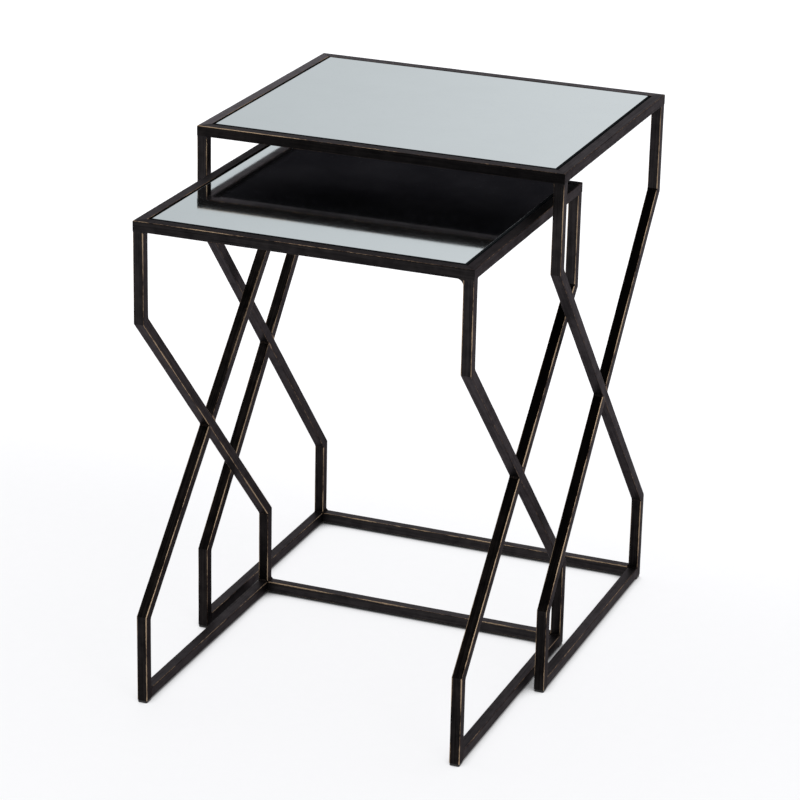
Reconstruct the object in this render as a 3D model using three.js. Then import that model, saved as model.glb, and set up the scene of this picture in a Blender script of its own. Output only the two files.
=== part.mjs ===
// A pair of nesting tables in welded square steel bar, each with a mirror let into its top.
//
// Millimetres, +Z up. +X is the right-hand side and -Y the front, where the small table is
// drawn out from under the large one. The origin lies on the floor, in the middle of the box
// that holds both tables as they stand here.
//
// Every bar is its own piece, cut to the angle of the joint it is welded at. A thin weld gap
// is left between neighbouring pieces.

import * as THREE from "three";

// ---- Driving dimensions --------------------------------------------------------------------

const BAR = 12; // side of the square bar
const BAR_EDGE_RADIUS = 0.8; // rounding along the bar's four edges
const WELD_GAP = 0.3; // left open between two pieces that are welded or lie on each other

const GLIDE_SIDE = 11.4; // square felt glide under each leg
const GLIDE_CORNER_RADIUS = 1.5;
const LEG_CLEARANCE = 3; // height of the steel above the floor, taken up by the glide

const GLASS_THICKNESS = 4;
const GLASS_ARRIS = 0.8; // chamfer ground along the mirror's edges
const GLASS_CORNER_RADIUS = 1;
const INSET_CLEARANCE = 1.8; // between the rails and the mirror or its board
const BOARD_THICKNESS = 3;
const LEDGE_WIDTH = 10; // flat strip that carries the board
const LEDGE_THICKNESS = 2;
const LEDGE_END_CLEARANCE = 6; // the strip stops this far short of the side rails

// width along X, depth along Y and height of each table, and how far each bend of its side
// frames lies from the table's top or from the floor
const LARGE = {
  width: 430,
  depth: 356,
  height: 610,
  frontBendBelowTop: 112,
  rearBendBelowTop: 114,
  frontBendAboveFloor: 98,
  rearBendAboveFloor: 107,
};
const SMALL = {
  width: 384,
  depth: 340,
  height: 562,
  frontBendBelowTop: 113,
  rearBendBelowTop: 119,
  frontBendAboveFloor: 102,
  rearBendAboveFloor: 105,
};

const DRAWN_OUT = 215; // from the large table's middle to the small table's middle, along -Y

// ---- Places worked out from them -----------------------------------------------------------

const FRONT_OF_BOTH = -DRAWN_OUT - SMALL.depth / 2; // counted from the large table's middle
const REAR_OF_BOTH = LARGE.depth / 2;
const LARGE_MIDDLE_Y = -(FRONT_OF_BOTH + REAR_OF_BOTH) / 2;
const SMALL_MIDDLE_Y = LARGE_MIDDLE_Y - DRAWN_OUT;

// ---- Materials -----------------------------------------------------------------------------

const blackenedSteel = () =>
  new THREE.MeshStandardMaterial({ color: 0x353233, roughness: 0.45, metalness: 0.8 });
const mirrorGlass = () =>
  new THREE.MeshStandardMaterial({ color: 0xc6cdd2, roughness: 0.03, metalness: 1 });
const blackBoard = () =>
  new THREE.MeshStandardMaterial({ color: 0x121213, roughness: 0.6, metalness: 0 });
const darkFelt = () =>
  new THREE.MeshStandardMaterial({ color: 0x1b1a19, roughness: 0.95, metalness: 0 });

// ---- Shapes --------------------------------------------------------------------------------

// A rectangle with rounded corners, centred on the origin.
function roundedRectangle(width, depth, radius) {
  const x = width / 2 - radius;
  const y = depth / 2 - radius;
  const outline = new THREE.Shape();
  outline.absarc(x, y, radius, 0, Math.PI / 2);
  outline.absarc(-x, y, radius, Math.PI / 2, Math.PI);
  outline.absarc(-x, -y, radius, Math.PI, 1.5 * Math.PI);
  outline.absarc(x, -y, radius, 1.5 * Math.PI, 2 * Math.PI);
  outline.closePath();
  return outline;
}

// A flat plate of that outline, its underside at z = 0.
function plate(name, width, depth, thickness, radius, material) {
  const options = { depth: thickness, bevelEnabled: false, curveSegments: 1 };
  const geometry = new THREE.ExtrudeGeometry(roundedRectangle(width, depth, radius), options);
  const mesh = new THREE.Mesh(geometry, material);
  mesh.name = name;
  return mesh;
}

// A straight length of square bar from one point to another. Each end is cut by the plane
// through that point with the given normal, moved back along the bar's side of the joint by
// the given clearance.
function bar(name, start, end) {
  const along = new THREE.Vector3().subVectors(end.point, start.point);
  const length = along.length();
  along.normalize();
  const across = Math.abs(along.x) > 0.5 ? new THREE.Vector3(0, 1, 0) : new THREE.Vector3(1, 0, 0);
  const upright = new THREE.Vector3().crossVectors(along, across).normalize();
  const turn = new THREE.Matrix4().makeBasis(across, upright, along);
  const toLocal = turn.clone().transpose();

  const section = roundedRectangle(BAR, BAR, BAR_EDGE_RADIUS);
  const options = { depth: length, bevelEnabled: false, curveSegments: 1 };
  const geometry = new THREE.ExtrudeGeometry(section, options);

  const startNormal = start.normal.clone().transformDirection(toLocal);
  const endNormal = end.normal.clone().transformDirection(toLocal);
  const corners = geometry.getAttribute("position");
  for (let i = 0; i < corners.count; i += 1) {
    const x = corners.getX(i);
    const y = corners.getY(i);
    const atStart = corners.getZ(i) < length / 2;
    const normal = atStart ? startNormal : endNormal;
    const slope = -(normal.x * x + normal.y * y) / normal.z;
    const backOff = (atStart ? start.clearance : -end.clearance) / Math.abs(normal.z);
    corners.setZ(i, (atStart ? 0 : length) + slope + backOff);
  }
  geometry.computeVertexNormals();

  const mesh = new THREE.Mesh(geometry, blackenedSteel());
  mesh.name = name;
  mesh.position.copy(start.point);
  mesh.quaternion.setFromRotationMatrix(turn);
  return mesh;
}

// An end cut square to the direction of the normal, with a full weld gap.
function squareEnd(point, normal) {
  return { point, normal, clearance: WELD_GAP };
}

// An end mitred against the next bar: the cut halves the angle between the two directions.
function mitredEnd(point, directionIn, directionOut) {
  const normal = new THREE.Vector3().addVectors(directionIn, directionOut).normalize();
  return { point, normal, clearance: WELD_GAP / 2 };
}

// ---- Top frame, mirror, board and ledges ----------------------------------------------------

// Four rails mitred at the corners, seen from above in the order front, right, rear, left.
function topRails(table, prefix) {
  const x = table.width / 2 - BAR / 2;
  const y = table.depth / 2 - BAR / 2;
  const z = table.height - BAR / 2;
  const corners = [
    new THREE.Vector3(-x, -y, z),
    new THREE.Vector3(x, -y, z),
    new THREE.Vector3(x, y, z),
    new THREE.Vector3(-x, y, z),
  ];
  const sides = ["front", "right", "rear", "left"];
  const direction = (i) =>
    new THREE.Vector3().subVectors(corners[(i + 1) % 4], corners[i % 4]).normalize();
  return sides.map((side, i) => {
    const before = direction(i + 3);
    const here = direction(i);
    const after = direction(i + 1);
    const start = mitredEnd(corners[i], before, here);
    const end = mitredEnd(corners[(i + 1) % 4], here, after);
    return bar(`${prefix}_top_rail_${side}`, start, end);
  });
}

// The mirror lies flush in the rails on a black board, and the board on two flat strips that
// are welded to the front and rear rails.
function insetTop(table, prefix) {
  const width = table.width - 2 * (BAR + INSET_CLEARANCE);
  const depth = table.depth - 2 * (BAR + INSET_CLEARANCE);
  const boardTop = table.height - GLASS_THICKNESS - WELD_GAP;
  const ledgeTop = boardTop - BOARD_THICKNESS - WELD_GAP;

  const glassOptions = {
    depth: GLASS_THICKNESS - 2 * GLASS_ARRIS,
    bevelThickness: GLASS_ARRIS,
    bevelSize: GLASS_ARRIS,
    bevelOffset: -GLASS_ARRIS,
    bevelSegments: 1,
    curveSegments: 1,
  };
  const glassOutline = roundedRectangle(width, depth, GLASS_ARRIS + GLASS_CORNER_RADIUS);
  const glass = new THREE.Mesh(
    new THREE.ExtrudeGeometry(glassOutline, glassOptions),
    mirrorGlass(),
  );
  glass.name = `${prefix}_mirror_top`;
  glass.position.z = table.height - GLASS_THICKNESS + GLASS_ARRIS;

  const board = plate(
    `${prefix}_backing_board`,
    width,
    depth,
    BOARD_THICKNESS,
    GLASS_CORNER_RADIUS,
    blackBoard(),
  );
  board.position.z = boardTop - BOARD_THICKNESS;

  const ledgeLength = table.width - 2 * (BAR + LEDGE_END_CLEARANCE);
  const ledgeY = table.depth / 2 - BAR - WELD_GAP - LEDGE_WIDTH / 2;
  const ledges = [
    ["front", -1],
    ["rear", 1],
  ].map(([side, sign]) => {
    const ledge = plate(
      `${prefix}_board_ledge_${side}`,
      ledgeLength,
      LEDGE_WIDTH,
      LEDGE_THICKNESS,
      BAR_EDGE_RADIUS,
      blackenedSteel(),
    );
    ledge.position.set(0, sign * ledgeY, ledgeTop - LEDGE_THICKNESS);
    return ledge;
  });
  return [glass, board, ...ledges];
}

// ---- Side frames ----------------------------------------------------------------------------

// One side frame in the plane x = 0. Both legs bend inwards below the top and cross: the bar
// from the front leg runs through whole to the rear foot, and the bar from the rear leg is cut
// in two halves that butt against it. A rail joins the feet along the floor.
function sideFrame(table, prefix, side) {
  const down = new THREE.Vector3(0, 0, -1);
  const legY = table.depth / 2 - BAR / 2;
  const legTop = table.height - BAR;
  const at = (y, z) => new THREE.Vector3(0, y, z);

  const frontUpperBend = at(-legY, table.height - table.frontBendBelowTop);
  const rearUpperBend = at(legY, table.height - table.rearBendBelowTop);
  const frontLowerBend = at(-legY, table.frontBendAboveFloor);
  const rearLowerBend = at(legY, table.rearBendAboveFloor);

  const wholeRun = new THREE.Vector3().subVectors(rearLowerBend, frontUpperBend).normalize();
  const cutRun = new THREE.Vector3().subVectors(frontLowerBend, rearUpperBend).normalize();
  const wholeSide = new THREE.Vector3(0, -wholeRun.z, wholeRun.y); // square to the whole bar
  const toWhole = new THREE.Vector3().subVectors(frontUpperBend, rearUpperBend).dot(wholeSide);
  const meeting = rearUpperBend.clone().addScaledVector(cutRun, toWhole / cutRun.dot(wholeSide));
  const halfCrossing = BAR / 2 / Math.abs(cutRun.dot(wholeSide));
  const above = meeting.clone().addScaledVector(cutRun, -halfCrossing);
  const below = meeting.clone().addScaledVector(cutRun, halfCrossing);

  const named = (piece) => `${prefix}_${side}_${piece}`;
  const foot = (y) => squareEnd(at(y, LEG_CLEARANCE - WELD_GAP), down);
  const railZ = LEG_CLEARANCE + BAR / 2;
  const railEnd = legY - BAR / 2;
  const rearwards = new THREE.Vector3(0, 1, 0);

  return [
    bar(
      named("front_upper_leg"),
      squareEnd(at(-legY, legTop), down),
      mitredEnd(frontUpperBend, down, wholeRun),
    ),
    bar(
      named("whole_diagonal"),
      mitredEnd(frontUpperBend, down, wholeRun),
      mitredEnd(rearLowerBend, wholeRun, down),
    ),
    bar(named("rear_lower_leg"), mitredEnd(rearLowerBend, wholeRun, down), foot(legY)),
    bar(
      named("rear_upper_leg"),
      squareEnd(at(legY, legTop), down),
      mitredEnd(rearUpperBend, down, cutRun),
    ),
    bar(
      named("upper_half_diagonal"),
      mitredEnd(rearUpperBend, down, cutRun),
      squareEnd(above, wholeSide),
    ),
    bar(
      named("lower_half_diagonal"),
      squareEnd(below, wholeSide),
      mitredEnd(frontLowerBend, cutRun, down),
    ),
    bar(named("front_lower_leg"), mitredEnd(frontLowerBend, cutRun, down), foot(-legY)),
    bar(
      named("floor_rail"),
      squareEnd(at(-railEnd, railZ), rearwards),
      squareEnd(at(railEnd, railZ), rearwards),
    ),
  ];
}

// ---- A whole table --------------------------------------------------------------------------

function nestingTable(table, prefix) {
  const group = new THREE.Group();
  group.add(...topRails(table, prefix));
  group.add(...insetTop(table, prefix));

  const legX = table.width / 2 - BAR / 2;
  const legY = table.depth / 2 - BAR / 2;
  const sides = [
    ["left", -1],
    ["right", 1],
  ];
  for (const [side, sign] of sides) {
    const frame = new THREE.Group();
    frame.position.x = sign * legX;
    frame.add(...sideFrame(table, prefix, side));
    group.add(frame);
  }

  const crossbarEnd = legX - BAR / 2;
  const crossbarZ = LEG_CLEARANCE + BAR / 2;
  const sideways = new THREE.Vector3(1, 0, 0);
  group.add(
    bar(
      `${prefix}_rear_floor_crossbar`,
      squareEnd(new THREE.Vector3(-crossbarEnd, legY, crossbarZ), sideways),
      squareEnd(new THREE.Vector3(crossbarEnd, legY, crossbarZ), sideways),
    ),
  );

  const ends = [
    ["front", -1],
    ["rear", 1],
  ];
  for (const [side, signX] of sides) {
    for (const [end, signY] of ends) {
      const glide = plate(
        `${prefix}_${end}_${side}_glide`,
        GLIDE_SIDE,
        GLIDE_SIDE,
        LEG_CLEARANCE - WELD_GAP,
        GLIDE_CORNER_RADIUS,
        darkFelt(),
      );
      glide.position.set(signX * legX, signY * legY, 0);
      group.add(glide);
    }
  }
  return group;
}

const nestingTables = new THREE.Group();

const largeTable = nestingTable(LARGE, "large");
largeTable.position.y = LARGE_MIDDLE_Y;
nestingTables.add(largeTable);

const smallTable = nestingTable(SMALL, "small");
smallTable.position.y = SMALL_MIDDLE_Y;
nestingTables.add(smallTable);

export default nestingTables;
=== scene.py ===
# %% [markdown]
# # A pair of nesting tables
# Two side tables in blackened square bar, the smaller drawn halfway out from under the larger.
# Each top is a mirror let flush into four rails, and each side is a pair of bent legs that
# cross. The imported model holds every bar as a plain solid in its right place. This lesson
# gives each of them its finished surface: soft edges, ground welds, a charcoal bronze patina
# and the thin lines where the patina is rubbed through.

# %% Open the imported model
import math

import bpy
import numpy as np
from mathutils import Matrix, Vector


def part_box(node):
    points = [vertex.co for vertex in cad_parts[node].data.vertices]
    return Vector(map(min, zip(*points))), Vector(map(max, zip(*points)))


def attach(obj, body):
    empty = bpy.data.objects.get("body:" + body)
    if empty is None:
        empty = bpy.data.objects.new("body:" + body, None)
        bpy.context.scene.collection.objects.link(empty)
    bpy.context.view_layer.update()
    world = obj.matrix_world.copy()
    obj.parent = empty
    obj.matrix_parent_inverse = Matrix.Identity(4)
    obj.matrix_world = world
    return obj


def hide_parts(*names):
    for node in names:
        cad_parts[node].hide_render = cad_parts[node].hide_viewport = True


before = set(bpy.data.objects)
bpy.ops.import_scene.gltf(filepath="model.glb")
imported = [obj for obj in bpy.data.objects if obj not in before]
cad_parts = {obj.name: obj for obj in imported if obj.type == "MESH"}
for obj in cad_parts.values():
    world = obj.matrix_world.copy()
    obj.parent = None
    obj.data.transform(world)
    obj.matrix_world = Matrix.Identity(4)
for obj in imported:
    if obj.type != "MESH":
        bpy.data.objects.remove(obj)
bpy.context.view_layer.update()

MM = 0.001
TABLES = ("large", "small")
SIDES = ("left", "right")

# %% [markdown]
# ## The camera
# A long lens from a fair distance keeps the uprights nearly parallel, as furniture is usually
# shown. The camera looks down from the front right, and it leans over by about a degree.

# %% Camera
CAMERA_AZIMUTH = math.radians(21.400)  # to the right of straight in front
CAMERA_ELEVATION = math.radians(20.803)
CAMERA_LEAN = math.radians(1.265)
CAMERA_TARGET = Vector((-0.0335, 0.0960, 0.2553))
CAMERA_DISTANCE = 3.6569
LENS = 140.18  # millimetres on a 36 mm sensor
SENSOR = 36.0
FAR_CLIP = 100.0  # metres, well beyond the end of the floor

back = Vector(
    (
        math.sin(CAMERA_AZIMUTH) * math.cos(CAMERA_ELEVATION),
        -math.cos(CAMERA_AZIMUTH) * math.cos(CAMERA_ELEVATION),
        math.sin(CAMERA_ELEVATION),
    )
)
level_right = Vector((0, 0, 1)).cross(back).normalized()
level_up = back.cross(level_right)
right = level_right * math.cos(CAMERA_LEAN) + level_up * math.sin(CAMERA_LEAN)
up = level_up * math.cos(CAMERA_LEAN) - level_right * math.sin(CAMERA_LEAN)

camera_data = bpy.data.cameras.new("studio_camera")
camera_data.sensor_width = SENSOR
camera_data.lens = LENS
camera_data.clip_end = FAR_CLIP
camera = bpy.data.objects.new("studio_camera", camera_data)
bpy.context.scene.collection.objects.link(camera)
camera.matrix_world = Matrix.Translation(CAMERA_TARGET + back * CAMERA_DISTANCE) @ Matrix(
    (right, up, back)
).transposed().to_4x4()
bpy.context.scene.camera = camera
print("camera at", tuple(round(c, 3) for c in camera.location))

# %% [markdown]
# ## A skin over a row of rings
# Bars, welds, glass and pads are all the same kind of surface: a closed outline carried along
# a path. If the outlines are kept in one array, ring by ring, then the faces between them
# follow from the shape of the array alone, and no vertex is ever placed by hand.

# %% A skin over rings
SHARP_ANGLE = math.radians(35)


def ring_faces(count, size, closed):
    """Quads that join ring i to ring i + 1, each ring closed on itself.

    A closed path joins its last ring to its first as well. An open one gets a flat cap at each
    end, which is the whole first or last ring as one face."""
    i, j = np.meshgrid(np.arange(count if closed else count - 1), np.arange(size), indexing="ij")
    next_i = (i + 1) % count
    next_j = (j + 1) % size
    corners = [i * size + j, i * size + next_j, next_i * size + next_j, next_i * size + j]
    quads = np.stack(corners, axis=-1).reshape(-1, 4)
    if closed:
        return quads.tolist()
    first = np.arange(size)
    last = first + (count - 1) * size
    return quads.tolist() + [first[::-1].tolist(), last.tolist()]


def enclosed_volume(rings, closed):
    """Six times the volume inside the quads: the sum of a . (b x c) over their triangles.

    It is negative when the faces turn inwards."""
    a = rings - rings.reshape(-1, 3).mean(0)
    after = np.roll(a, -1, axis=0)
    if not closed:
        a = a[:-1]
        after = after[:-1]
    b = np.roll(a, -1, axis=1)
    c = np.roll(after, -1, axis=1)
    first = np.einsum("ijk,ijk->", a, np.cross(b, c))
    second = np.einsum("ijk,ijk->", a, np.cross(c, after))
    return first + second


def skin(name, shells, material):
    """One mesh over several shells, each of them (rings, closed, values).

    Vertex (i, j) of a shell lies at rings[i, j]. Each of values is an array over the same grid,
    or three arrays for a vector, and is kept as a point attribute under its own name."""
    points, faces, kept = [], [], {}
    start = 0
    for rings, closed, values in shells:
        count, size = rings.shape[:2]
        if enclosed_volume(rings, closed) < 0:
            rings = rings[:, ::-1]
            values = {key: value[:, ::-1] for key, value in values.items()}
        faces += [[start + corner for corner in face] for face in ring_faces(count, size, closed)]
        points.append(rings.reshape(-1, 3))
        for key, value in values.items():
            kept.setdefault(key, []).append(value.reshape(count * size, -1))
        start += count * size
    mesh = bpy.data.meshes.new(name)
    mesh.from_pydata(np.concatenate(points).tolist(), [], faces)
    for key, parts in kept.items():
        numbers = np.concatenate(parts).astype(np.float32)
        is_vector = numbers.shape[1] == 3
        layer = mesh.attributes.new(key, "FLOAT_VECTOR" if is_vector else "FLOAT", "POINT")
        layer.data.foreach_set("vector" if is_vector else "value", numbers.ravel())
    mesh.polygons.foreach_set("use_smooth", np.ones(len(faces), bool))
    mesh.set_sharp_from_angle(angle=SHARP_ANGLE)
    mesh.materials.append(material)
    piece = bpy.data.objects.new(name, mesh)
    bpy.context.scene.collection.objects.link(piece)
    return piece


def finish_piece(piece, table, slot_name, *nodes):
    """The piece rides with its table and stands for CAD nodes, which it hides. The slot name is not
    used.
    """
    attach(piece, f"{table}_table")
    if nodes:
        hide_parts(*nodes)


# %% [markdown]
# ## Writing a material in one line
# A material is a small circuit of nodes, and so is the world's light. These helpers add one
# node each and wire its inputs, so that a finish reads from top to bottom like a recipe.

# %% Node helpers
MIX_COLOURS = (6, 7)  # a Mix node has sockets for numbers and vectors too; these are its colours
MIX_RESULT = 2


class Circuit:
    """Short calls that add nodes to one node tree."""

    def __init__(self, tree):
        self.tree = tree

    def add(self, kind, inputs=None, **settings):
        """One node of a kind; inputs name or number its sockets, and a socket is wired in."""
        node = self.tree.nodes.new(kind)
        for key, value in settings.items():
            setattr(node, key, value)
        for key, value in (inputs or {}).items():
            if isinstance(value, bpy.types.NodeSocket):
                self.tree.links.new(value, node.inputs[key])
            else:
                node.inputs[key].default_value = value
        return node

    def attribute(self, name, output="Fac"):
        """A number, or with the output Vector a place, that the mesh keeps at its points."""
        return self.add("ShaderNodeAttribute", attribute_name=name).outputs[output]

    def object_place(self):
        """The place in the shared frame, because every finished piece sits at its origin."""
        return self.add("ShaderNodeTexCoord").outputs["Object"]

    def stretched(self, vector, scale):
        """A place times a scale along each axis, in turns per metre."""
        return self.add("ShaderNodeMapping", {"Vector": vector, "Scale": scale}).outputs[0]

    def noise(self, vector, scale=1.0, detail=3.0, roughness=0.55):
        """Smooth random values round one half."""
        inputs = {"Vector": vector, "Scale": scale, "Detail": detail, "Roughness": roughness}
        return self.add("ShaderNodeTexNoise", inputs).outputs["Fac"]

    def math(self, operation, a, b):
        """Two numbers added, subtracted or multiplied."""
        return self.add("ShaderNodeMath", {0: a, 1: b}, operation=operation).outputs[0]

    def spread(self, value, low, high, to_low=0.0, to_high=1.0):
        """The value's range from low to high carried to another range, eased and clamped."""
        inputs = {"Value": value, "From Min": low, "From Max": high}
        inputs.update({"To Min": to_low, "To Max": to_high})
        node = self.add("ShaderNodeMapRange", inputs, interpolation_type="SMOOTHSTEP")
        return node.outputs["Result"]

    def mix(self, share, a, b):
        """Colour a where the share is nought and colour b where it is one."""
        node = self.add("ShaderNodeMix", {"Factor": share}, data_type="RGBA")
        for number, value in zip(MIX_COLOURS, (a, b)):
            if isinstance(value, bpy.types.NodeSocket):
                self.tree.links.new(value, node.inputs[number])
            else:
                node.inputs[number].default_value = (*value, 1.0)
        return node.outputs[MIX_RESULT]

    def bump(self, height, depth, strength=1.0):
        """A normal that leans as if the surface rose by depth where the height is one."""
        inputs = {"Height": height, "Distance": depth, "Strength": strength}
        return self.add("ShaderNodeBump", inputs).outputs["Normal"]


class Finish(Circuit):
    """A new material with one Principled shader."""

    def __init__(self, name, **constants):
        self.material = bpy.data.materials.new(name)
        self.material.use_nodes = True
        super().__init__(self.material.node_tree)
        self.shader = self.tree.nodes["Principled BSDF"]
        for socket, value in constants.items():
            self.shader.inputs[socket.replace("_", " ")].default_value = value

    def wire(self, **sockets):
        """Join node outputs to the shader's inputs, and hand back the finished material."""
        for socket, value in sockets.items():
            self.tree.links.new(value, self.shader.inputs[socket.replace("_", " ")])
        return self.material


# %% [markdown]
# ## Blackened bronze over steel
# The bars are darkened with a patina, waxed, and then rubbed along their edges, so that each
# edge carries a thin line of pale bronze that thickens, thins and breaks off. The pattern has
# to follow the bar, not the room: streaks run lengthwise whichever way a bar points. So each
# bar brings its own measures as attributes. They are its place along and across the bar, the
# distance to the nearest edge, and how hard that edge was rubbed. The last is how much painted
# light the face gets: a paler grey painted on faces by how far they look up, in place of the
# light that falls on them.

# %% Patina material
CHARCOAL = (0.0030, 0.0026, 0.0026)
WARM_GREY = (0.0125, 0.0102, 0.0094)
# The next colour is painted light: a paler grey mixed into faces by how far they look up.
PAINTED_LIGHT_GREY = (0.125, 0.115, 0.122)
RED_BROWN = (0.120, 0.066, 0.042)
PALE_BRONZE = (0.36, 0.265, 0.175)
STREAK = (1100.0, 1100.0, 13.0)  # across, across and along, in turns per metre
GRAIN = (1800.0, 1800.0, 260.0)
PATCH = (45.0, 45.0, 16.0)
LINE_WIDTH = 0.80 * MM  # half the rubbed line's full width where it was rubbed hardest
LINE_RAGGED = 1.1 * MM  # how far the grain moves the line's border
LINE_SOFT = 0.4 * MM  # over which the border fades
EDGE_TINT = (0.55, 0.53, 0.54, 1.0)  # keeps the waxed metal dark where it is seen along its face
STREAKS_IN_TONE = 0.65  # and the rest of the tone is mottle
TONE_RANGE = (0.38, 0.66)  # from all charcoal to all warm grey
PAINTED_LIGHT_TONE = (0.25, 0.62)  # from the faintest to the strongest spots of a face's painted light
PAINTED_LIGHT_RANGE = (0.45, 1.15)  # their painted light against the face's own
PATCH_RANGE = (0.34, 0.60)  # from the thinnest to the widest stretches of a line
LINE_RANGE = (0.25, 1.25)  # their widths against the line's own
GLOSS_TONE = (0.3, 0.7)
GLOSS_RANGE = (0.50, 0.36)  # roughness of the darkest and of the palest tone
STREAKS_IN_PITS = 0.6
MOTTLE_IN_PITS = 0.8
PIT_DEPTH = 0.08 * MM
PIT_STRENGTH = 0.7

finish = Finish("blackened_bronze_patina", Metallic=1.0)
finish.shader.inputs["Specular Tint"].default_value = EDGE_TINT
place = finish.attribute("bar_place", "Vector")
streak = finish.noise(finish.stretched(place, STREAK), detail=4.0, roughness=0.65)
grain = finish.noise(finish.stretched(place, GRAIN), detail=2.0)
patch = finish.noise(finish.stretched(place, PATCH), detail=3.0)
mottle = finish.noise(finish.object_place(), scale=75.0, detail=4.0)

streak_part = finish.math("MULTIPLY", streak, STREAKS_IN_TONE)
tone = finish.math("ADD", streak_part, finish.math("MULTIPLY", mottle, 1 - STREAKS_IN_TONE))
body = finish.mix(finish.spread(tone, *TONE_RANGE), CHARCOAL, WARM_GREY)
# Painted light: faces are mixed towards the paler grey by how far they look up, patchy with the tone.
painted_light_share = finish.math("MULTIPLY", finish.attribute("wear"), finish.spread(tone, *PAINTED_LIGHT_TONE, *PAINTED_LIGHT_RANGE))
body = finish.mix(painted_light_share, body, PAINTED_LIGHT_GREY)

width_share = finish.spread(patch, *PATCH_RANGE, *LINE_RANGE)
reach = finish.math("MULTIPLY", finish.attribute("rub"), width_share)
reach = finish.math("MULTIPLY", reach, LINE_WIDTH)
ragged = finish.math("MULTIPLY", finish.math("SUBTRACT", grain, 0.5), LINE_RAGGED)
reach = finish.math("ADD", reach, ragged)
over = finish.math("SUBTRACT", reach, finish.attribute("edge_distance"))
rubbed = finish.spread(over, -0.25 * LINE_SOFT, LINE_SOFT)
metal = finish.mix(finish.spread(over, 0.0, 1.4 * LINE_SOFT), RED_BROWN, PALE_BRONZE)
colour = finish.mix(rubbed, body, metal)

streak_pits = finish.math("MULTIPLY", streak, STREAKS_IN_PITS)
mottle_pits = finish.math("MULTIPLY", mottle, MOTTLE_IN_PITS)
pits = finish.bump(finish.math("ADD", streak_pits, mottle_pits), PIT_DEPTH, PIT_STRENGTH)
gloss = finish.spread(tone, *GLOSS_TONE, *GLOSS_RANGE)
patina = finish.wire(Base_Color=colour, Roughness=gloss, Normal=pits)
print("patina nodes:", len(finish.tree.nodes))

# %% [markdown]
# ## The outline of a square bar
# A rolled square bar has slightly rounded corners. The outline is built from four arcs with
# flats between them, and it keeps a few points on each flat, so that the surface can carry the
# faint unevenness of hand dressing.

# %% Bar outline
BAR = 12.0 * MM
EDGE_RADIUS = 0.95 * MM
ARC_STEPS = 6
FLAT_STEPS = 6


def square_outline(side, radius, arc_steps=ARC_STEPS, flat_steps=FLAT_STEPS):
    """Places, outward directions, edge distances and corner numbers round a rounded square.

    Corner k lies at the angle 45 + 90 k degrees. Its arc is the corner's centre plus radius
    times (cos t, sin t), with t running from 90 k to 90 k + 90 degrees. The flats are straight
    lines to the next arc, with points drawn towards their ends by a cosine."""
    k = np.arange(4)[:, None]
    turn = np.pi / 2 * (k + np.linspace(0.0, 1.0, arc_steps + 1)[None, :])
    way = np.stack([np.cos(turn), np.sin(turn)], axis=-1)
    corner = np.pi / 2 * (k + 0.5)
    centre = (side / 2 - radius) * np.sqrt(2) * np.stack([np.cos(corner), np.sin(corner)], -1)
    arc = centre + radius * way
    share = (1 - np.cos(np.pi * np.arange(1, flat_steps) / flat_steps)) / 2
    start = arc[:, -1:, :]
    end = np.roll(arc[:, :1, :], -1, axis=0)
    flat = start + (end - start) * share[None, :, None]
    flat_way = np.repeat(way[:, -1:, :], flat_steps - 1, axis=1)
    places = np.concatenate([arc, flat], axis=1).reshape(-1, 2)
    ways = np.concatenate([way, flat_way], axis=1).reshape(-1, 2)

    on_arc = np.abs(turn - corner) * radius
    half_arc = np.pi / 4 * radius
    on_flat = half_arc + (side - 2 * radius) * np.minimum(share, 1 - share)
    on_flat = np.repeat(on_flat[None, :], 4, axis=0)
    distance = np.concatenate([on_arc, on_flat], axis=1).ravel()
    number = np.concatenate([k + 0.0 * turn, k + share[None, :] + 0.0 * on_flat], axis=1).ravel()
    return places, ways, distance, number


section, section_way, edge_distance, corner_number = square_outline(BAR, EDGE_RADIUS)
print("outline points:", len(section))

# %% [markdown]
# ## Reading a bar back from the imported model
# Every packed bar is a plain prism: eight corners at each end, cut to the angle of its joint.
# That is enough to find its centre line and both cuts, so nothing about the tables has to be
# measured a second time. The mean of each end's corners lies on the centre line, and the
# direction in which those corners do not spread is the normal of the cut.

# %% Read the bars
STEEP = 0.3  # a bar that falls by more than this share of its length counts as a leg
DIGITS = 6  # decimals of a metre kept when corners are compared


def node_points(name):
    """The distinct vertices of a CAD node, to a thousandth of a millimetre."""
    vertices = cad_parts[name].data.vertices
    co = np.empty(len(vertices) * 3)
    vertices.foreach_get("co", co)
    return np.unique(np.round(co.reshape(-1, 3), DIGITS), axis=0)


def cut_normal(ring, inwards):
    """The unit normal of a flat ring of points, turned to the side that inwards points to."""
    normal = np.linalg.svd(ring - ring.mean(0))[2][2]
    return normal * np.sign(normal @ inwards)


def read_bar(name):
    """Centre line, section directions and end cuts of a bar.

    Legs and diagonals are read downwards, and level bars towards +X or +Y. The section's first
    direction is X, or Y for a bar that runs along X; the second is axis x first."""
    points = node_points(name)
    centred = points - points.mean(0)
    rough = np.linalg.svd(centred, full_matrices=False)[2][0]
    further = centred @ rough > 0
    start = points[~further].mean(0)
    end = points[further].mean(0)
    axis = (end - start) / np.linalg.norm(end - start)
    lead = -axis[2] if abs(axis[2]) > STEEP else axis[np.argmax(np.abs(axis))]
    if lead < 0:
        start, end, axis, further = end, start, -axis, ~further
    across = np.array([0.0, 1.0, 0.0]) if abs(axis[0]) > 0.5 else np.array([1.0, 0.0, 0.0])
    return {
        "name": name,
        "start": start,
        "end": end,
        "axis": axis,
        "across": across,
        "upright": np.cross(axis, across),
        "start_normal": cut_normal(points[~further], axis),
        "end_normal": cut_normal(points[further], -axis),
        "length": np.linalg.norm(end - start),
    }


# %% [markdown]
# ## How the bars meet
# Bends and top corners are mitred. Leg tops, floor rails and crossbars butt against another
# bar, and so do the two half diagonals where they cross the whole one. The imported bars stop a
# fraction of a millimetre short of each other, and the finished ones close that gap. Each end
# is named once here, and the same name later says what weld it gets.

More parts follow.
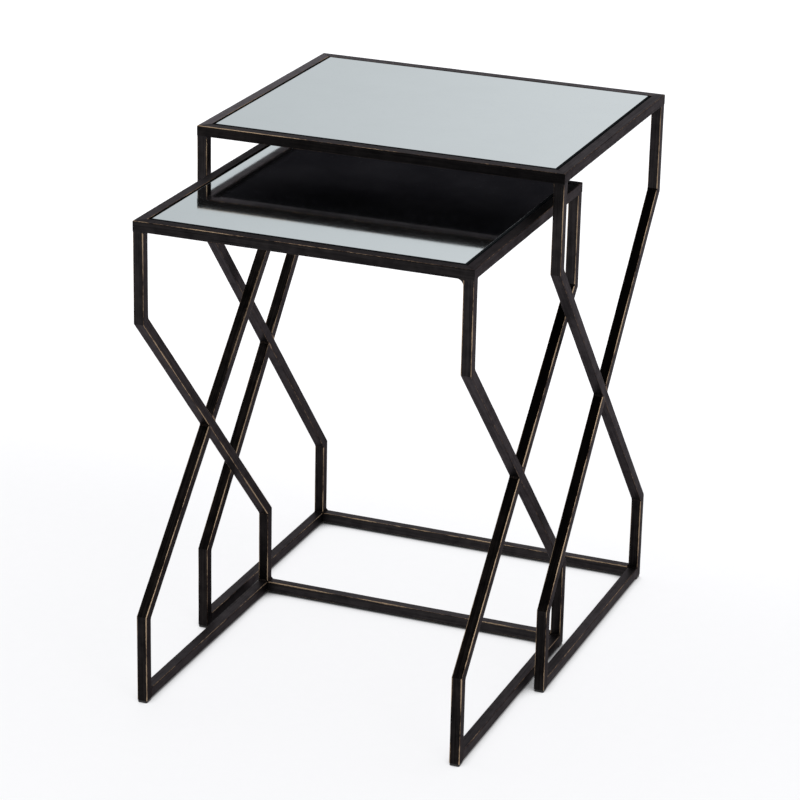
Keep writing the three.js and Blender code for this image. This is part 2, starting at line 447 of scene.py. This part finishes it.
# %% Ends of every bar
SIDE_BARS = {
    "front_upper_leg": ("leg_top", "fitted"),
    "whole_diagonal": ("bend", "fitted"),
    "rear_lower_leg": ("bend", "foot"),
    "rear_upper_leg": ("leg_top", "fitted"),
    "upper_half_diagonal": ("bend", "crossing"),
    "lower_half_diagonal": ("crossing", "fitted"),
    "front_lower_leg": ("bend", "foot"),
    "floor_rail": ("tee", "tee"),
}
TOP_BARS = {
    "top_rail_front": ("corner", "corner"),
    "top_rail_rear": ("corner", "corner"),
    "top_rail_left": ("fitted", "fitted"),
    "top_rail_right": ("fitted", "fitted"),
}
CROSSBAR = {"rear_floor_crossbar": ("tee", "tee")}
HALF_GAP = 0.15 * MM
SHORTFALL = {
    "fitted": HALF_GAP,
    "bend": HALF_GAP,
    "corner": HALF_GAP,
    "leg_top": 2 * HALF_GAP,
    "crossing": 2 * HALF_GAP,
    "tee": 2 * HALF_GAP,
    "foot": 0.0,
}

bars = {}
for table in TABLES:
    named = {f"{table}_{bar}": (table, "top", ends) for bar, ends in TOP_BARS.items()}
    named.update({f"{table}_{bar}": (table, "floor", ends) for bar, ends in CROSSBAR.items()})
    for side in SIDES:
        of_side = {f"{table}_{side}_{bar}": (table, side, ends) for bar, ends in SIDE_BARS.items()}
        named.update(of_side)
    for name, (_, group, ends) in named.items():
        bars[name] = read_bar(name)
        bars[name].update(table=table, group=group, ends=ends)
        for end, kind in zip(("start", "end"), ends):
            lean = bars[name]["axis"] @ bars[name][end + "_normal"]
            bars[name][end] = bars[name][end] - bars[name]["axis"] * SHORTFALL[kind] / lean
print("bars:", len(bars), "metres of bar:", round(sum(bar["length"] for bar in bars.values()), 2))

# %% [markdown]
# ## Rubbed edges, and painted light on the faces
# The lines along the edges are strong on the legs, weak under the tops and nearly gone on a few
# of the diagonals. The faces differ too, and that is painted light: the upper faces of level bars
# are painted paler than upright ones, and the lower faces of the diagonals paler than their upper
# ones, in place of the light that falls on them. A single rule can't say that, so a few small
# tables do: how hard each edge was rubbed, and how much painted light a face gets by how far it
# looks up. Between the angles and heights in the tables the painted light follows straight lines.

# %% Rubbing and wear
LEG_RUB = (1.0, 0.85, 0.75, 0.85)  # of a leg's edges, in the order of the outline's corners
LINE_SHARE = {  # legs and diagonals that were rubbed less or more than the rest
    "large_left_whole_diagonal": 0.30,
    "large_right_whole_diagonal": 0.25,
    "small_right_whole_diagonal": 0.25,
    "large_left_front_lower_leg": 0.60,
    "small_right_front_upper_leg": 1.35,
    "small_right_front_lower_leg": 1.30,
    "small_right_upper_half_diagonal": 1.35,
}
LEVEL_RUB = {  # of a level bar's edges: bottom inner and outer, then top inner and outer
    "front": ((0.05, 0.25), (0.10, 0.85)),
    "right": ((0.05, 0.12), (0.10, 0.28)),
    "rear": ((0.05, 0.12), (0.10, 0.35)),
    "left": ((0.05, 0.12), (0.45, 0.40)),
    "floor_rail": ((0.20, 0.45), (0.40, 0.45)),
    "crossbar": ((0.35, 0.50), (1.05, 0.60)),
}
CORNER_SIGNS = np.array([[1, 1], [-1, 1], [-1, -1], [1, -1]])

UNDER_PAINTED_LIGHT = 0.26  # painted light on the lower face of a diagonal, which is painted paler than the upper face
SIDE_PAINTED_LIGHT = 0.13  # painted light on an upright face
RAIL_SIDE_PAINTED_LIGHT = {"large": 0.05, "small": 0.10}  # painted light on the upright faces of the top rails
RAIL_UNDER_PAINTED_LIGHT = 0.08  # and on their lower faces
SLOPE_PAINTED_LIGHT = 0.0  # painted light on the upper face of a diagonal, which gets none
SLOPE = 0.43  # how far such a face looks up: the sine of its lean
LEVEL_PAINTED_LIGHT = {"rail": 0.24, "crossbar": 0.30}  # painted light on the upper faces of the bars at the floor
TOP_PAINTED_LIGHT = {  # and on the top rails: the small table's get less, as painted shade under the larger top
    "large": {"front": 0.21, "right": 0.24, "rear": 0.50, "left": 0.85},
    "small": {"front": 0.12, "right": 0.13, "rear": 0.30, "left": 0.30},
}
LINE_FADE = {"front": 0.80}  # the share of a rubbed line that is lost from a bar's start to its end
HEIGHTS = (0.02, 0.15, 0.42)  # metres above the floor
HEIGHT_PAINTED_LIGHT = (0.30, 0.50, 1.0)  # the share of the painted light at those heights


def wear_of(outward, level_wear, side_wear=SIDE_PAINTED_LIGHT, under_wear=UNDER_PAINTED_LIGHT):
    """Painted light by how far a surface looks up: straight lines between four known angles."""
    looks_up = [-SLOPE, 0.0, SLOPE, 1.0]
    return np.interp(outward[:, 2], looks_up, [under_wear, side_wear, SLOPE_PAINTED_LIGHT, level_wear])


def height_share(z):
    """The share of the painted light at a height: less of it towards the floor, so the bars are
    darker there.
    """
    return np.interp(z, HEIGHTS, HEIGHT_PAINTED_LIGHT)


def edge_hardness(bar, kind):
    """How hard each of the four edges was rubbed.

    A level bar's edges are told apart by whether they lie at its top and on the table's outside."""
    if kind == "leg":
        return np.array(LEG_RUB) * LINE_SHARE.get(bar["name"], 1.0)
    corners = CORNER_SIGNS @ np.stack([bar["across"], bar["upright"]])
    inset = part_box(f"{bar['table']}_mirror_top")
    outwards = (bar["start"] + bar["end"]) / 2 - np.array((inset[0] + inset[1]) / 2)
    at_top = (corners[:, 2] > 0).astype(int)
    outside = (corners[:, :2] @ outwards[:2] > 0).astype(int)
    return np.array(LEVEL_RUB[kind])[at_top, outside]


# %% [markdown]
# ## Sweeping the outline
# A bar is its outline carried from one cut to the other. Each point of the outline runs along
# the bar's axis until it meets the plane of the cut, so mitres come out of the same formula as
# square ends. Hot rolled bar is never perfectly flat: a sum of slow waves lifts and sinks the
# surface by a few hundredths of a millimetre, enough to break up a long straight highlight.

# %% Sweep a bar
STEP = 7.0 * MM  # between two rings
LEAST_STEPS = 8
WAVES = ((0.030, 61.0), (0.022, 37.0), (0.012, 19.0))  # height and length in millimetres
WAVE_SKEW = 0.6  # metres along the bar by which a wave shifts for each metre across it
WAVE_FADE = 4.0  # the waves die out over the last quarter of a bar at each end
GRAIN_SEED = 1000  # added to a bar's number for the place of its grain
GRAIN_STRETCH = 5.0  # metres within which that place is drawn


def waves(place, seed):
    """Height at a place: the sum over the waves of h sin(2 pi (s + k a) / l + phase).

    Here s is the place along the bar, a the sum of its two places across, and k the skew."""
    phases = np.random.default_rng(seed).uniform(0, 2 * np.pi, len(WAVES))
    s = place[..., 2] + WAVE_SKEW * (place[..., 0] + place[..., 1])
    terms = [
        height * MM * np.sin(2 * np.pi * s / (length * MM) + phase)
        for (height, length), phase in zip(WAVES, phases)
    ]
    return np.sum(terms, axis=0)


def where_cut(bar, end, offsets):
    """Where a line along the bar, off its centre line by offsets, meets the cut at an end.

    The point is c + o + t axis, with t chosen so that it lies in the plane: t = -(o . n) /
    (axis . n), for the centre c of the cut and its normal n."""
    normal = bar[end + "_normal"]
    along = -(offsets @ normal) / (bar["axis"] @ normal)
    return bar[end] + offsets + along[:, None] * bar["axis"]


def bar_shell(bar, seed):
    """Rings of a bar: for each outline point, start + s (end - start), with s from 0 to 1."""
    base = np.stack([bar["across"], bar["upright"]])
    offsets = section @ base
    first = where_cut(bar, "start", offsets)
    last = where_cut(bar, "end", offsets)
    count = max(LEAST_STEPS, int(round(bar["length"] / STEP)))
    share = np.linspace(0.0, 1.0, count + 1)[:, None, None]
    rings = first + share * (last - first)

    along = (rings - bar["start"]) @ bar["axis"]
    own = np.random.default_rng(seed + GRAIN_SEED).uniform(0.0, GRAIN_STRETCH)
    flat_place = np.broadcast_to(section, (count + 1, len(section), 2))
    bar_place = np.concatenate([flat_place, (along + own)[..., None]], axis=-1)
    outward = section_way @ base
    fade = np.minimum(1.0, WAVE_FADE * np.minimum(share[..., 0], 1 - share[..., 0]))
    lift = (waves(bar_place, seed) - sum(height for height, _ in WAVES) * MM) * fade
    rings = rings + outward * lift[..., None]

    last_word = bar["name"].split("_")[-1]
    kind = "leg"
    if abs(bar["axis"][2]) < STEEP:
        kind = "floor_rail" if last_word == "rail" else last_word
    nearest = edge_hardness(bar, kind)[np.round(corner_number).astype(int) % 4]
    # Painted light by how far each face looks up; on the legs it is less towards the floor.
    if bar["group"] == "top":
        level_wear = TOP_PAINTED_LIGHT[bar["table"]][last_word]
        wear = wear_of(outward, level_wear, RAIL_SIDE_PAINTED_LIGHT[bar["table"]], RAIL_UNDER_PAINTED_LIGHT)
    else:
        wear = wear_of(outward, LEVEL_PAINTED_LIGHT.get(last_word, SLOPE_PAINTED_LIGHT))
    if kind == "leg":
        wear = wear * height_share(rings[..., 2])
    grid = np.ones((count + 1, 1))
    fading = 1 - LINE_FADE.get(kind, 0.0) * share[..., 0]
    values = {
        "bar_place": bar_place,
        "edge_distance": grid * edge_distance,
        "rub": fading * nearest,
        "wear": wear * grid,
    }
    return rings, False, values


# %% Sweep every bar
for seed, (name, bar) in enumerate(bars.items()):
    piece = skin(f"{name}_bar", [bar_shell(bar, seed)], patina)
    finish_piece(piece, bar["table"], "blackened_steel", name)

# %% [markdown]
# ## Weld beads
# At a bend the weld is ground nearly flush and shows as a fine line across the bar. Where a bar
# butts against another there is a small fillet in each inside corner, and a flush bead on the
# sides where the two surfaces run on. Both are one shape: a strip that leaves the bar's surface
# in one direction and arrives on the neighbour's surface in another. Only the second direction
# and the size change on the way round the joint. Under the tops the inside corners are dressed
# with a round file, so the fillet there is hollow. One of them was filled and filed much wider.

# %% Weld shape
BEAD_POINTS = 9  # across a bead, from one surface to the other
BEAD_ARC_STEPS = 8
BEAD_FLAT_STEPS = 16
BEAD_SINK = 0.5 * MM  # how deep its root lies in the metal
BEAD_SETTLE = 0.04 * MM  # how far its edges sink into the two surfaces
BEAD_SEED = 2000  # added to a joint's number for its waves
BEAD_WAVES = ((0.10, 3), (0.07, 11), (0.05, 23))  # share of the size, and turns round the joint
FLUSH = {  # width and height of a bead ground flush, in millimetres
    "bend": (1.1, 0.14),
    "corner": (0.8, 0.07),
    "crossing": (1.2, 0.15),
    "tee": (1.0, 0.10),
    "leg_top": (0.9, 0.08),
}
FILLET = {"leg_top": 2.2, "crossing": 1.9, "tee": 2.2}  # width of a fillet, in millimetres
FILLET_FROM = 0.35  # how far a side must face the opening before its bead turns into a fillet
FILLET_SPAN = 0.5  # and over how much more of that it turns
WIDE_FILLET = {"small_right_front_upper_leg": 6.5}  # in millimetres too
REARWARD_SHARE = 0.35  # of the fillet's size, under the side rail
HOLLOW = -0.24  # middle of a filed fillet against its width; a circle would give -0.29
PROUD = 0.06  # the same for a weld left as it was laid
TINY = 1e-9  # stands in for a length of nought under a division
BEAD_RUB = {"bend": 0.22, "corner": 0.15, "crossing": 0.60, "tee": 0.30, "leg_top": 0.05}
BEAD_EDGE = 0.35 * MM  # its distance from an edge, as the patina takes it
FILLET_RUB_LOSS = 0.6  # the share of the rubbing that a fillet is spared
bead_section, bead_way, _, _ = square_outline(BAR, EDGE_RADIUS, BEAD_ARC_STEPS, BEAD_FLAT_STEPS)


def unit(vectors):
    """Vectors divided by their lengths."""
    return vectors / np.linalg.norm(vectors, axis=-1, keepdims=True)


def open_sides(bar, kind, end):
    """World directions in which the neighbour's surface reaches out past this bar's side.

    Each comes with the share of the full fillet that it gets."""
    inwards_x = -np.sign(bar[end][0])
    if kind == "crossing":
        return [(bar["upright"], 1.0), (-bar["upright"], 1.0)]
    if kind == "tee":
        return [(np.array([0.0, 0.0, 1.0]), 1.0)]
    if kind == "leg_top":
        rearwards = np.array([0.0, 1.0, 0.0])
        inwards_y = rearwards if "front" in bar["name"] else -rearwards
        return [(np.array([inwards_x, 0.0, 0.0]), 1.0), (inwards_y, REARWARD_SHARE)]
    return []


def bead_shell(bar, end, kind, seed):
    """Rings of a bead round the joint at one end of a bar.

    From the joint's edge e the strip runs from e + w a to e + w b, where a lies along this bar
    and b along its neighbour: p(f) = e + w ((1 - f) a + f b) + 4 h f (1 - f) m, with m outward
    and f from 0 to 1. In an inside corner b turns towards the open side. One more point inside
    the metal closes the ring."""
    base = np.stack([bar["across"], bar["upright"]])
    edge = where_cut(bar, end, bead_section @ base)
    outward = bead_way @ base
    normal = bar[end + "_normal"]
    along = bar["axis"] * np.sign(bar["axis"] @ normal)
    beyond = along - 2 * (along @ normal) * normal if kind in ("bend", "corner") else -normal

    open_to = np.zeros_like(outward)
    size = np.zeros((len(outward), 1))
    for direction, share in open_sides(bar, kind, end):
        facing = np.clip(outward @ direction, 0.0, 1.0)[:, None]
        open_to = open_to + facing * direction
        size = size + share * facing**2
    amount = np.linalg.norm(open_to, axis=1, keepdims=True)
    fillet = np.clip((amount - FILLET_FROM) / FILLET_SPAN, 0.0, 1.0)
    open_in_plane = open_to - (open_to @ normal)[:, None] * normal
    in_plane_length = np.linalg.norm(open_in_plane, axis=1, keepdims=True)
    out_in_plane = open_in_plane / np.maximum(in_plane_length, TINY)
    flush_width, flush_height = FLUSH[kind]
    full_width = WIDE_FILLET.get(bar["name"], FILLET.get(kind, flush_width))
    wide = np.maximum(full_width * size, flush_width)
    swell = HOLLOW if kind == "leg_top" else PROUD
    turn = np.linspace(0.0, 2 * np.pi, len(edge), endpoint=False)
    phases = np.random.default_rng(seed + BEAD_SEED).uniform(0, 2 * np.pi, len(BEAD_WAVES))
    uneven = np.ones((len(turn), 1))
    for (part, turns), phase in zip(BEAD_WAVES, phases):
        uneven = uneven + part * np.sin(turns * turn + phase)[:, None]
    width = (flush_width + (wide - flush_width) * fillet) * MM * uneven
    height = (flush_height + (swell * wide - flush_height) * fillet) * MM * uneven

    to_neighbour = unit((1 - fillet) * beyond + fillet * out_in_plane)
    lift = unit((1 - fillet) * outward + fillet * (out_in_plane + along))
    f = np.linspace(0.0, 1.0, BEAD_POINTS)[None, :, None]
    strip = edge[:, None, :] + width[:, None, :] * ((1 - f) * along + f * to_neighbour[:, None, :])
    strip = strip + 4 * height[:, None, :] * f * (1 - f) * lift[:, None, :]
    strip = strip - BEAD_SETTLE * outward[:, None, :]
    root = edge - BEAD_SINK * (outward + normal)
    rings = np.concatenate([strip, root[:, None, :]], axis=1)

    flat = np.ones(rings.shape[:2])
    values = {
        "bar_place": rings,
        "edge_distance": BEAD_EDGE * flat,
        "rub": BEAD_RUB[kind] * (1 - FILLET_RUB_LOSS * fillet) * flat,
        # painted light by how far the bead looks up, less towards the floor
        "wear": wear_of(outward, SLOPE_PAINTED_LIGHT)[:, None] * height_share(rings[..., 2]),
    }
    return rings, True, values


# %% Lay every bead
welds = {}
for seed, bar in enumerate(bars.values()):
    for end, kind in zip(("start", "end"), bar["ends"]):
        if kind in FLUSH:
            shell = bead_shell(bar, end, kind, 2 * seed + (end == "end"))
            welds.setdefault((bar["table"], bar["group"]), []).append(shell)
for (table, group), shells in welds.items():
    finish_piece(skin(f"{table}_{group}_welds", shells, patina), table, "blackened_steel")
print("welds:", {f"{table} {group}": len(shells) for (table, group), shells in welds.items()})

# %% [markdown]
# ## Plates: glass, board, ledges and glides
# A plate is a rounded rectangle carried straight up, drawn in at its top and bottom edges. The
# rings at those edges follow the profile of the edge: a ground chamfer on the glass, a small
# rounding on the rest. Each plate takes its width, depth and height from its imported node.

# %% Plate shape
LEAST_RADIUS = 0.15 * MM  # no corner of an outline gets sharper than this
PLATE_STEPS = 24  # along each side of a plate


def rounded_rectangles(width, depth, radius, inset, arc_steps, flat_steps):
    """Outlines of a rectangle with rounded corners, one for each inset from its sides.

    Each corner is an arc, centre + r (cos t, sin t), where r is the radius less the inset. The
    flats are straight lines from one arc's end to the next arc's start."""
    smaller = np.maximum(radius - inset, LEAST_RADIUS)[:, None, None]
    half = np.array([width, depth]) / 2 - inset[:, None, None]
    centre = CORNER_SIGNS * (half - smaller)
    turn = np.pi / 2 * (np.arange(4)[:, None] + np.linspace(0.0, 1.0, arc_steps + 1)[None, :])
    way = np.stack([np.cos(turn), np.sin(turn)], axis=-1)
    arc = centre[:, :, None, :] + smaller[..., None] * way
    share = (np.arange(1, flat_steps) / flat_steps)[:, None]
    start = arc[:, :, -1:, :]
    flat = start + (np.roll(arc[:, :, :1, :], -1, axis=1) - start) * share
    return np.concatenate([arc, flat], axis=2).reshape(len(inset), -1, 2)


def plate_shell(node, radius, profile, flat_steps=PLATE_STEPS):
    """Rings of a plate in its node's box.

    Each (inset, height, rim) of the profile is one ring: the outline moved inwards by the inset,
    at that height above the node's lowest point. The rim is kept as an attribute of the ring."""
    low, high = (np.array(corner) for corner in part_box(node))
    width, depth, _ = high - low
    middle = (low + high) / 2
    inset, height, rim = np.array(profile).T
    flat = rounded_rectangles(width, depth, radius, inset, ARC_STEPS, flat_steps)
    up = np.broadcast_to((low[2] + height)[:, None, None], (*flat.shape[:2], 1))
    rings = np.concatenate([flat + middle[:2], up], axis=-1)
    grid = np.ones(flat.shape[:2])
    values = {"rim": rim[:, None] * grid, "bar_place": rings}
    return rings, False, values


def rounded_edges(thickness, radius, steps=4):
    """Profile of a plate with rounded edges: two quarter circles joined by a straight side."""
    t = np.linspace(0.0, np.pi / 2, steps + 1)
    inset = radius * (1 - np.cos(t))
    rise = radius * (1 - np.sin(t))
    lower = np.stack([inset[::-1], rise[::-1], inset * 0], axis=-1)
    upper = np.stack([inset, thickness - rise, inset * 0], axis=-1)
    return np.concatenate([lower, upper])


# %% [markdown]
# ## The mirrors
# Each top is a sheet of mirror glass, silvered behind. From above it is nearly all reflection,
# with a cool tint from the glass. Its edge is ground to a fine chamfer and blacked, so that a
# dark line runs between the reflection and the rails. Sheet glass of this sort is a little
# uneven and never quite clean, so what lies further off is shown softly, and a faint bloom
# changes the gloss here and there by a hair.

# %% Mirror material and glass
GLASS = 4.0 * MM
CHAMFER = 0.8 * MM
GLASS_CORNER = 1.8 * MM
BLACK_BORDER = 1.9 * MM  # the silvering stops this far from the edge
MIRROR_PROFILE = (
    (CHAMFER, 0.0, 0.0),
    (0.15 * MM, CHAMFER - 0.15 * MM, 0.0),
    (0.0, CHAMFER, 0.0),
    (0.0, GLASS - CHAMFER, 0.0),
    (0.10 * MM, GLASS - CHAMFER + 0.12 * MM, 0.0),
    (CHAMFER - 0.12 * MM, GLASS - 0.10 * MM, 0.2),
    (CHAMFER, GLASS, 0.3),
    (BLACK_BORDER, GLASS, 0.3),
    (BLACK_BORDER + 0.3 * MM, GLASS, 1.0),
)
SILVER = (0.88, 0.925, 0.94)
BLOOMED = 0.975  # the share of the light that comes back where the glass is bloomed
BLACKED = (0.008, 0.009, 0.010)
MIRROR_GLOSS = (0.055, 0.070)  # roughness where the glass is clean and where it is bloomed

finish = Finish("silvered_mirror_glass", Specular_IOR_Level=0.0)
bloom = finish.noise(finish.object_place(), scale=9.0, detail=5.0, roughness=0.7)
tint = finish.mix(finish.spread(bloom, 0.35, 0.70), SILVER, tuple(BLOOMED * c for c in SILVER))
silvered = finish.spread(finish.attribute("rim"), 0.4, 0.95)
mirror_finish = finish.wire(
    Metallic=silvered,
    Base_Color=finish.mix(silvered, BLACKED, tint),
    Roughness=finish.spread(bloom, 0.4, 0.75, *MIRROR_GLOSS),
)

for table in TABLES:
    node = f"{table}_mirror_top"
    pane = skin(f"{node}_pane", [plate_shell(node, GLASS_CORNER, MIRROR_PROFILE)], mirror_finish)
    finish_piece(pane, table, "mirror_glass", node)
    print(node, "measures", [round(side, 4) for side in pane.dimensions])

# %% [markdown]
# ## Board and ledges under the glass
# The glass lies on a thin board painted black, which is what the smaller mirror shows of the
# larger table. Pressed fibre shows through the paint as a fine pitted grain. The board rests on
# two flat steel strips with the same patina as the bars.

# %% Board and ledges
BOARD = 3.0 * MM
BOARD_CORNER = 1.0 * MM
BOARD_EDGE = 0.3 * MM
FIBRE = (900.0, 350.0, 900.0)  # turns per metre
LEDGE = 2.0 * MM
LEDGE_CORNER = 0.8 * MM
LEDGE_EDGE = 0.4 * MM
LEDGE_STEPS = 40
NO_EDGE = 8.0 * MM  # an edge distance that no rubbed line reaches
BLACK_PAINT = (0.0085, 0.0080, 0.0096)
DUSTY_BLACK = (0.0140, 0.0132, 0.0152)

finish = Finish("black_painted_board", Metallic=0.0, Specular_IOR_Level=0.0)
fibre = finish.noise(finish.stretched(finish.object_place(), FIBRE), detail=4.0)
cloud = finish.noise(finish.object_place(), scale=14.0, detail=3.0)
paint = finish.mix(finish.spread(cloud, 0.3, 0.75), BLACK_PAINT, DUSTY_BLACK)
board_finish = finish.wire(
    Base_Color=paint,
    Roughness=finish.spread(fibre, 0.3, 0.7, 0.58, 0.72),
    Normal=finish.bump(fibre, 0.12 * MM, 0.6),
)

for table in TABLES:
    node = f"{table}_backing_board"
    shell = plate_shell(node, BOARD_CORNER, rounded_edges(BOARD, BOARD_EDGE))
    finish_piece(skin(f"{node}_panel", [shell], board_finish), table, "black_board", node)
    for side in ("front", "rear"):
        node = f"{table}_board_ledge_{side}"
        ledge_profile = rounded_edges(LEDGE, LEDGE_EDGE)
        rings, closed, values = plate_shell(node, LEDGE_CORNER, ledge_profile, LEDGE_STEPS)
        level = np.ones(rings.shape[:2])
        # The strips get the painted light of an upright face.
        values.update(edge_distance=NO_EDGE * level, rub=0.0 * level, wear=SIDE_PAINTED_LIGHT * level)
        strip = skin(f"{node}_strip", [(rings, closed, values)], patina)
        finish_piece(strip, table, "blackened_steel", node)
print("boards and ledges:", 3 * len(TABLES))

# %% [markdown]
# ## Felt glides
# A square of dense felt under each foot keeps the steel off the floor. The weight of the table
# presses it, so its side bulges slightly. The fibres are short and lie every way, which a fine
# noise in the bump and a soft sheen show well enough at this size.

# %% Glides
GLIDE = 2.7 * MM
BULGE = 0.25 * MM
BULGE_STEPS = 8
BULGE_POWER = 0.6  # below one, so that the side is full and turns in quickly at its edges
GLIDE_CORNER = 1.5 * MM
GLIDE_STEPS = 6
FELT_DARK = (0.006, 0.0055, 0.0055)
FELT_LIGHT = (0.026, 0.024, 0.023)

finish = Finish("dense_dark_felt", Metallic=0.0, Roughness=0.95, Sheen_Weight=0.25)
fuzz = finish.noise(finish.object_place(), scale=2600.0, detail=5.0, roughness=0.7)
felt_finish = finish.wire(
    Base_Color=finish.mix(finish.spread(fuzz, 0.3, 0.7), FELT_DARK, FELT_LIGHT),
    Normal=finish.bump(fuzz, 0.25 * MM, 0.8),
)

side_height = np.linspace(0.0, 1.0, BULGE_STEPS + 1)
side_inset = BULGE * (1 - np.sin(np.pi * side_height) ** BULGE_POWER)
glide_profile = np.stack([side_inset, GLIDE * side_height, 0 * side_height], axis=-1)
for table in TABLES:
    for end in ("front", "rear"):
        for side in SIDES:
            node = f"{table}_{end}_{side}_glide"
            shell = plate_shell(node, GLIDE_CORNER, glide_profile, GLIDE_STEPS)
            pad = skin(f"{node}_pad", [shell], felt_finish)
            finish_piece(pad, table, "dark_felt", node)
print("glides:", len(TABLES) * len(SIDES) * 2)

# %% [markdown]
# ## Floor
# The floor stands for a sheet of white acrylic lit from below, which is how furniture is shown
# with hardly a shadow. Most of its light is its own, and only the rest comes from above, so the
# tables leave a faint shade on it. Its own light carries painted shade. An ambient occlusion node
# dims it to black where a bar lies within a few millimetres of the sheet, a painted contact shadow
# under the bar, and the glow is dimmer beneath and in front of the tables than behind them. The
# sheet reaches far back, so that no edge of it comes into view from above.

# %% Floor
FLOOR_HALF = 9.0  # metres
FLOOR_TONE = (0.10, 0.10, 0.10)
FLOOR_DUST = 0.985  # the share of that tone where the sheet is dullest
GLOW = (1.0, 1.0, 1.018)
SHADED_GLOW = 0.825  # the floor's own light beneath and in front of the tables, dimmed there as painted shade
UNSHADED_GLOW = 1.05  # and behind them
PAINTED_SHADE_FROM = 0.15  # metres along +Y where it starts to rise
PAINTED_SHADE_TO = 1.10
CONTACT_SHADOW_REACH = 0.030  # metres within which a bar paints a contact shadow on the sheet
CONTACT_SHADOW_BLACK = 0.15  # the open share of the sky at which the painted contact shadow puts out all the glow
CONTACT_SHADOW_CLEAR = 0.75  # and at which it puts out none

finish = Finish("pale_studio_floor", Metallic=0.0, Emission_Color=(*GLOW, 1.0))
floor_place = finish.object_place()
grain = finish.noise(floor_place, scale=60.0, detail=4.0)
rearward = finish.add("ShaderNodeSeparateXYZ", {0: floor_place}).outputs["Y"]
# Painted shade: the glow is dimmed beneath and in front of the tables, and an ambient occlusion node
# paints a contact shadow under the bars.
open_share = finish.add("ShaderNodeAmbientOcclusion", {"Distance": CONTACT_SHADOW_REACH}).outputs["AO"]
glow_with_painted_shade = finish.spread(rearward, PAINTED_SHADE_FROM, PAINTED_SHADE_TO, SHADED_GLOW, UNSHADED_GLOW)
glow_with_painted_shade = finish.math("MULTIPLY", glow_with_painted_shade, finish.spread(open_share, CONTACT_SHADOW_BLACK, CONTACT_SHADOW_CLEAR))
floor_finish = finish.wire(
    Base_Color=finish.mix(grain, FLOOR_TONE, tuple(FLOOR_DUST * c for c in FLOOR_TONE)),
    Roughness=finish.spread(grain, 0.2, 0.8, 0.85, 0.95),
    Emission_Strength=glow_with_painted_shade,
)
floor_mesh = bpy.data.meshes.new("studio_floor")
floor_corners = FLOOR_HALF * np.array([[-1, -1, 0], [1, -1, 0], [1, 1, 0], [-1, 1, 0]])
floor_mesh.from_pydata(floor_corners.tolist(), [], [[0, 1, 2, 3]])
floor_mesh.materials.append(floor_finish)
floor = bpy.data.objects.new("studio_floor", floor_mesh)
bpy.context.scene.collection.objects.link(floor)
print("floor side:", 2 * FLOOR_HALF, "m")

# %% [markdown]
# ## Light
# The light is a soft white ceiling over grey-blue walls, as in a room lined with white cloth
# above and grey paper below. It is brightest over the rear and dim at the front, so that dark
# metal keeps its depth on the faces towards the viewer. The walls are what the mirrors show at
# this angle, a little brighter towards the right. Straight overhead hangs a grey disc, so that
# the mirrors still read as mirrors from above. One large lamp from the front right lifts the
# sides that face it.

# %% World and lamps
WALL_LEFT = (0.50, 0.528, 0.540)
WALL_RIGHT = (0.70, 0.722, 0.735)
WALL_FRONT = (0.26, 0.268, 0.272)
WALL_FROM = -0.50  # where the left wall ends and the right wall begins, along +X
WALL_TO = -0.20
WALL_TOP = 0.52  # sine of the height angle where the walls end
CEILING_FULL = 0.80  # and where the ceiling is at its full strength
WHITE = (1.0, 1.0, 1.0)
CEILING_STRENGTH = 2.60
CEILING_FRONT = 0.75  # the strength at its front
FRONT_FROM = 0.10  # where the front begins and where it is full, along +Y
FRONT_TO = -0.55
OVERHEAD = (0.60, 0.625, 0.635)
OVERHEAD_EDGE = 0.90  # sine of the height angle at the disc's edge
OVERHEAD_FULL = 0.95
LAMP_PLACE = (2.4, -2.2, 2.6)
LAMP_AIM = (0.0, 0.0, 0.3)
LAMP_SIZE = 1.6  # metres
LAMP_POWER = 45.0  # watts

world = bpy.data.worlds.new("soft_studio")
bpy.context.scene.world = world
world.use_nodes = True
room = Circuit(world.node_tree)
direction = room.add("ShaderNodeTexCoord").outputs["Generated"]
towards = room.add("ShaderNodeSeparateXYZ", {0: direction}).outputs

front = room.spread(towards["Y"], FRONT_FROM, FRONT_TO)
wall = room.mix(room.spread(towards["X"], WALL_FROM, WALL_TO), WALL_LEFT, WALL_RIGHT)
wall = room.mix(front, wall, WALL_FRONT)
bright = tuple(CEILING_STRENGTH * c for c in WHITE)
dim = tuple(CEILING_FRONT * c for c in WHITE)
ceiling = room.mix(front, bright, dim)
ceiling = room.mix(room.spread(towards["Z"], OVERHEAD_EDGE, OVERHEAD_FULL), ceiling, OVERHEAD)
light = room.mix(room.spread(towards["Z"], WALL_TOP, CEILING_FULL), wall, ceiling)
background = world.node_tree.nodes["Background"]
background.inputs["Strength"].default_value = 1.0
world.node_tree.links.new(light, background.inputs["Color"])


def soft_lamp(name, place, aim, size, power):
    """A square area lamp at a place, turned towards another, of a size in metres."""
    data = bpy.data.lights.new(name, "AREA")
    data.size = size
    data.energy = power
    lamp = bpy.data.objects.new(name, data)
    bpy.context.scene.collection.objects.link(lamp)
    lamp.location = place
    lamp.rotation_euler = (Vector(aim) - Vector(place)).to_track_quat("-Z", "Y").to_euler()


soft_lamp("front_right_softbox", LAMP_PLACE, LAMP_AIM, LAMP_SIZE, LAMP_POWER)
bpy.context.scene.view_settings.view_transform = "Standard"
